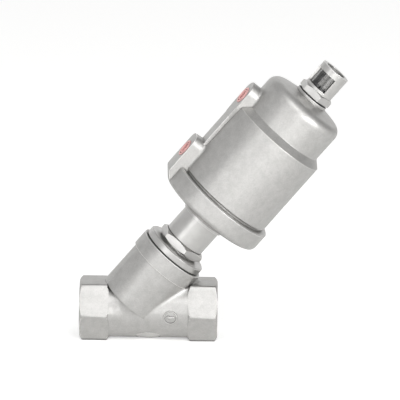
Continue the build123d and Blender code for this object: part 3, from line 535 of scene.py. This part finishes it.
# %% Dress the CAD pieces
dress = {
    housing_steel: ["actuator_housing"],
    body_steel: ["valve_body"],
    turned_steel: ["bonnet", "gland_nut", "snap_ring", "stem", "disc_holder", "holder_pin", "disc_washer",
                   "disc_nut", "piston_washer", "piston_nut", "indicator_rod", "bottom_cap",
                   "indicator_cage", "packing_washer"],
    rubber: ["gland_o_ring", "swivel_o_ring", "piston_lip_seal", "piston_o_ring", "cap_o_ring",
             "cage_o_ring"],
    graphite: ["body_gasket"],
    red_plastic: ["lower_port_plug", "upper_port_plug"],
    signal_red: ["indicator"],
    ptfe: ["stem_wiper", "v_rings", "gland_bush", "swivel_washer", "disc_seal",
           "piston_guide_band", "indicator_bush"],
    aluminium: ["piston"],
    spring_steel: ["packing_spring", "outer_spring", "inner_spring"],
    clear: ["sight_tube"],
}
for finish, names in dress.items():
    for name in names:
        mesh = nodes[name].data
        mesh.materials.clear()
        mesh.materials.append(finish)
undressed = sorted(set(nodes) - {n for names in dress.values() for n in names})
print("undressed pieces:", undressed)

# %% [markdown]
# ## Pipe threads in the body
# Both ends of the run have a G 3/4 thread, a single spiral groove with a pitch of 1.814 mm.
# The CAD bore is a plain cylinder at the thread's inner radius. Stacked rings would be quicker
# but aren't a thread, so one pitch of the profile is spun with a rise, once for each turn, and
# the plain skin of the bore is taken out of a copy of the body to make room for it.

# %% Helper for new pieces
def finished_piece(name, shape, finish, body, sharp=32):
    """Object from a bmesh, with its finish, smooth by angle, riding on a CAD body."""
    mesh = bpy.data.meshes.new(name)
    shape.to_mesh(mesh)
    shape.free()
    mesh.materials.append(finish)
    mesh.shade_smooth()
    mesh.set_sharp_from_angle(angle=radians(sharp))
    piece = bpy.data.objects.new(name, mesh)
    bpy.context.scene.collection.objects.link(piece)
    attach(piece, body)
    print(name, len(mesh.polygons), "faces")
    return piece


# %% One threaded bore
pitch, minor_radius, major_radius = 1.814, 12.06, 13.22
thread_start, thread_end = 1.35, 13.95    # from the end face: past the mouth, short of the shoulder
turn_steps, fade = 48, 0.7                # steps in a turn, and the run-out's length in pitches


def thread_skin(target, face_x, inwards):
    """Spiral skin of one bore, its groove fading out at both ends, added to the target bmesh."""
    skin = bmesh.new()
    bmesh.ops.create_vert(skin, co=(0, 0, minor_radius))
    for along, radius in ((0.12, minor_radius), (0.42, major_radius), (0.58, major_radius),
                          (0.88, minor_radius), (1.0, minor_radius)):
        skin.verts.ensure_lookup_table()
        before = skin.verts[-1]
        after = bmesh.ops.create_vert(skin, co=(along * pitch, 0, radius))["vert"][0]
        skin.edges.new((before, after))
    turns = int((thread_end - thread_start) / pitch) + 3
    bmesh.ops.spin(skin, geom=skin.verts[:] + skin.edges[:], cent=(0, 0, 0), axis=(1, 0, 0),
                   dvec=(pitch / turn_steps, 0, 0), angle=2 * pi * turns, steps=turn_steps * turns,
                   use_merge=False)
    bmesh.ops.remove_doubles(skin, verts=skin.verts, dist=0.002)
    lowest = min(v.co.x for v in skin.verts)
    bmesh.ops.translate(skin, verts=skin.verts, vec=(thread_start - pitch - lowest, 0, 0))
    for cut, way in ((thread_start, -1), (thread_end, 1)):
        bmesh.ops.bisect_plane(skin, geom=skin.verts[:] + skin.edges[:] + skin.faces[:], dist=1e-5,
                               plane_co=(cut, 0, 0), plane_no=(way, 0, 0), clear_outer=True)
    for vert in skin.verts:
        reach = min(vert.co.x - thread_start, thread_end - vert.co.x) / (fade * pitch)
        radius = Vector((vert.co.y, vert.co.z)).length
        wanted = minor_radius + (radius - minor_radius) * max(0.0, min(1.0, reach))
        vert.co.y *= wanted / radius
        vert.co.z *= wanted / radius
        vert.co.x = face_x + inwards * vert.co.x
    bmesh.ops.scale(skin, verts=skin.verts, vec=(MM, MM, MM))
    mesh = bpy.data.meshes.new("thread_skin")
    skin.to_mesh(mesh)
    skin.free()
    target.from_mesh(mesh)
    bpy.data.meshes.remove(mesh)


trial = bmesh.new()
thread_skin(trial, 0.0, -1)
print("thread from", round(max(v.co.x for v in trial.verts) / MM, 2), "to",
      round(min(v.co.x for v in trial.verts) / MM, 2), "mm,", len(trial.faces), "faces")
trial.free()

# %% [markdown]
# The bore's old skin goes from the copy, the spiral skins come in, and the open rims that face
# each other across a hair's breadth are bridged, so the body stays one closed shell.

# %% Body with threaded ends
body_low, body_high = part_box("valve_body")
threaded = bmesh.new()
threaded.from_mesh(nodes["valve_body"].data)
bmesh.ops.remove_doubles(threaded, verts=threaded.verts, dist=0.001 * MM)


def on_bore(vert):
    """Whether a corner lies on the plain cylinder that stands for a pipe thread."""
    return abs(Vector((vert.co.y, vert.co.z)).length - minor_radius * MM) < 0.02 * MM


plain_skin = [f for f in threaded.faces if all(on_bore(v) for v in f.verts)]
bmesh.ops.delete(threaded, geom=plain_skin, context="FACES")
thread_skin(threaded, body_high.x / MM, -1)
thread_skin(threaded, body_low.x / MM, 1)
open_rims = [e for e in threaded.edges if e.is_boundary]
rim_places = sorted({round(sum(v.co.x for v in e.verts) / 2 / MM) for e in open_rims})
for centre in (body_high.x / MM - thread_start, body_high.x / MM - thread_end,
               body_low.x / MM + thread_start, body_low.x / MM + thread_end):
    pair = [e for e in open_rims if e.is_valid and e.is_boundary
            and abs(sum(v.co.x for v in e.verts) / 2 / MM - centre) < 0.6]
    bmesh.ops.bridge_loops(threaded, edges=pair)
bmesh.ops.recalc_face_normals(threaded, faces=threaded.faces)
print("open rims were near x", rim_places, "mm; open edges left:", sum(e.is_boundary for e in threaded.edges))
body_piece = finished_piece("threaded_body", threaded, body_steel, "body", sharp=25)
even_shading = body_piece.modifiers.new("large_faces_lead", "WEIGHTED_NORMAL")
even_shading.mode = "FACE_AREA"
even_shading.weight = 100
even_shading.keep_sharp = True
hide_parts("valve_body")

# %% [markdown]
# ## Port plugs
# Both air ports are shut for transport by a red plastic plug with a socket, a raised ring and a
# groove round it. It is round all over, so one half section is spun about the port's axis.
# A Screw modifier would do the same, but the operator leaves a plain mesh. The three axes the
# plug is set on have to be right-handed: a mirrored set would turn all its faces inwards.

# %% Moulded port plugs
port_lean = radians(6.0)
plug_length, plug_proud = 6.15, 0.15
port_out = -cos(port_lean) * stem_across - sin(port_lean) * Vector((0, 1, 0))
port_side = stem_along.cross(port_out)
plug_section = [(0, -3.05), (2.2, -3.05), (2.45, -2.9), (2.65, 0.0), (2.8, 0.15), (3.2, 0.15), (3.35, 0.0),
                (3.35, -0.4), (3.75, -0.4), (3.75, 0.0), (3.9, 0.12), (4.67, 0.12), (4.82, 0.0),
                (4.82, -1.0), (4.2, -1.05), (4.2, -5.8), (4.0, -6.0), (0, -6.0)]


def port_plug(name, node, body):
    """Plug spun from its half section and set on the axis of the CAD plug."""
    low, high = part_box(node)
    face = (low + high) / 2 + port_out * (plug_length / 2 - plug_proud) * MM
    plug = bmesh.new()
    before = None
    for radius, out in plug_section:
        vert = bmesh.ops.create_vert(plug, co=(radius, 0, out))["vert"][0]
        if before:
            plug.edges.new((before, vert))
        before = vert
    bmesh.ops.spin(plug, geom=plug.verts[:] + plug.edges[:], cent=(0, 0, 0), axis=(0, 0, 1),
                   angle=2 * pi, steps=56, use_merge=True)
    bmesh.ops.remove_doubles(plug, verts=plug.verts, dist=0.002)
    bmesh.ops.recalc_face_normals(plug, faces=plug.faces)
    axes = Matrix((port_side, stem_along, port_out)).transposed().to_4x4()
    plug.transform(Matrix.Translation(face) @ axes @ Matrix.Scale(MM, 4))
    piece = finished_piece(name, plug, red_plastic, body)
    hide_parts(node)


port_plug("lower_plug_moulding", "lower_port_plug", "lower_plug")
port_plug("upper_plug_moulding", "upper_port_plug", "upper_plug")

# %% [markdown]
# ## Closing springs
# Two coil springs push the piston down and shut the valve. The CAD coils are drawn in straight
# runs, so here a round wire section is spun with a rise. A real spring shortens when air lifts
# the piston; these coils keep their length and ride on the actuator body.

# %% Coil springs
seat_gap, wire_sides, coil_steps = 0.05, 14, 28
axes = Matrix((stem_across, Vector((0, 1, 0)), stem_along)).transposed().to_4x4()
stem_frame = Matrix.Translation(stem_foot) @ axes @ Matrix.Scale(MM, 4)


def coil_spring(name, node, mean_radius, wire_radius, turns):
    """Open coil between the seats of the CAD spring."""
    stations = [(v.co - stem_foot).dot(stem_along) / MM for v in nodes[node].data.vertices]
    low, high = min(stations) + seat_gap, max(stations) - seat_gap
    steps = round(coil_steps * turns)
    coil = bmesh.new()
    bmesh.ops.create_circle(coil, segments=wire_sides, radius=wire_radius)
    bmesh.ops.rotate(coil, verts=coil.verts, cent=(0, 0, 0), matrix=Matrix.Rotation(pi / 2, 3, "X"))
    bmesh.ops.translate(coil, verts=coil.verts, vec=(mean_radius, 0, low + wire_radius))
    rise = (high - low - 2 * wire_radius) / steps
    bmesh.ops.spin(coil, geom=coil.verts[:] + coil.edges[:], cent=(0, 0, 0), axis=(0, 0, 1),
                   dvec=(0, 0, rise), angle=2 * pi * turns, steps=steps, use_merge=False)
    bmesh.ops.holes_fill(coil, edges=[e for e in coil.edges if e.is_boundary])
    bmesh.ops.recalc_face_normals(coil, faces=coil.faces)
    coil.transform(stem_frame)
    piece = finished_piece(name, coil, spring_steel, "actuator", sharp=50)
    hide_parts(node)
    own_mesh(piece)


coil_spring("outer_closing_spring", "outer_spring", 15.3, 1.6, 6.5)
coil_spring("inner_closing_spring", "inner_spring", 10.2, 1.1, 8.5)

# %% [markdown]
# ## Flow arrow
# A small ring with an arrow stands out of the casting on the front of the run and points from
# the inlet to the outlet. The wax pattern carries it, so its edges are soft. It is drawn flat,
# raised, bevelled, and then laid round the pipe by moving each corner back on to the curve.

# %% Raised ring and arrow
run_radius = 15.65
emblem_x, emblem_z = -25.5, -0.6
relief, sunk = 0.50, 0.25
ring_radius, ring_width, soft_edge = 3.75, 0.5, 0.14


def laid_on_pipe(flat):
    """Turns a flat relief to face the front and bends it round the run."""
    for vert in flat.verts:
        across, up, out = vert.co
        height = emblem_z + up
        vert.co = Vector((emblem_x + across, -((run_radius ** 2 - height ** 2) ** 0.5 + out), height)) * MM


def raised(flat, faces):
    """Lifts flat faces into a relief with soft top edges."""
    lifted = bmesh.ops.extrude_face_region(flat, geom=faces, use_keep_orig=True)["geom"]
    top = [g for g in lifted if isinstance(g, bmesh.types.BMVert)]
    bmesh.ops.translate(flat, verts=top, vec=(0, 0, relief + sunk))
    rim = [e for e in flat.edges if all(v in top for v in e.verts) and len(e.link_faces) == 2
           and e.calc_face_angle(0) > 1.0]
    bmesh.ops.recalc_face_normals(flat, faces=flat.faces)
    bmesh.ops.bevel(flat, geom=rim, offset=soft_edge, offset_type="OFFSET", affect="EDGES", segments=2,
                    profile=0.5, material=-1)


ring = bmesh.new()
bmesh.ops.create_circle(ring, cap_ends=True, segments=72, radius=ring_radius)
bmesh.ops.translate(ring, verts=ring.verts, vec=(0, 0, -sunk))
disc = ring.faces[:]
bmesh.ops.inset_region(ring, faces=disc, thickness=ring_width, use_boundary=True)
inner = [f for f in ring.faces if len(f.verts) > 4]
bmesh.ops.delete(ring, geom=inner, context="FACES")
raised(ring, ring.faces[:])
laid_on_pipe(ring)
finished_piece("flow_ring", ring, body_steel, "body")

arrow = bmesh.new()
outline = [(-2.5, 0.0), (-0.9, 1.45), (-0.9, 0.55), (2.3, 0.55),
           (2.3, -0.55), (-0.9, -0.55), (-0.9, -1.45)]
corners = [bmesh.ops.create_vert(arrow, co=(x, z, -sunk))["vert"][0] for x, z in outline]
arrow_face = arrow.faces.new(corners)
raised(arrow, [arrow_face])
laid_on_pipe(arrow)
finished_piece("flow_arrow", arrow, body_steel, "body")
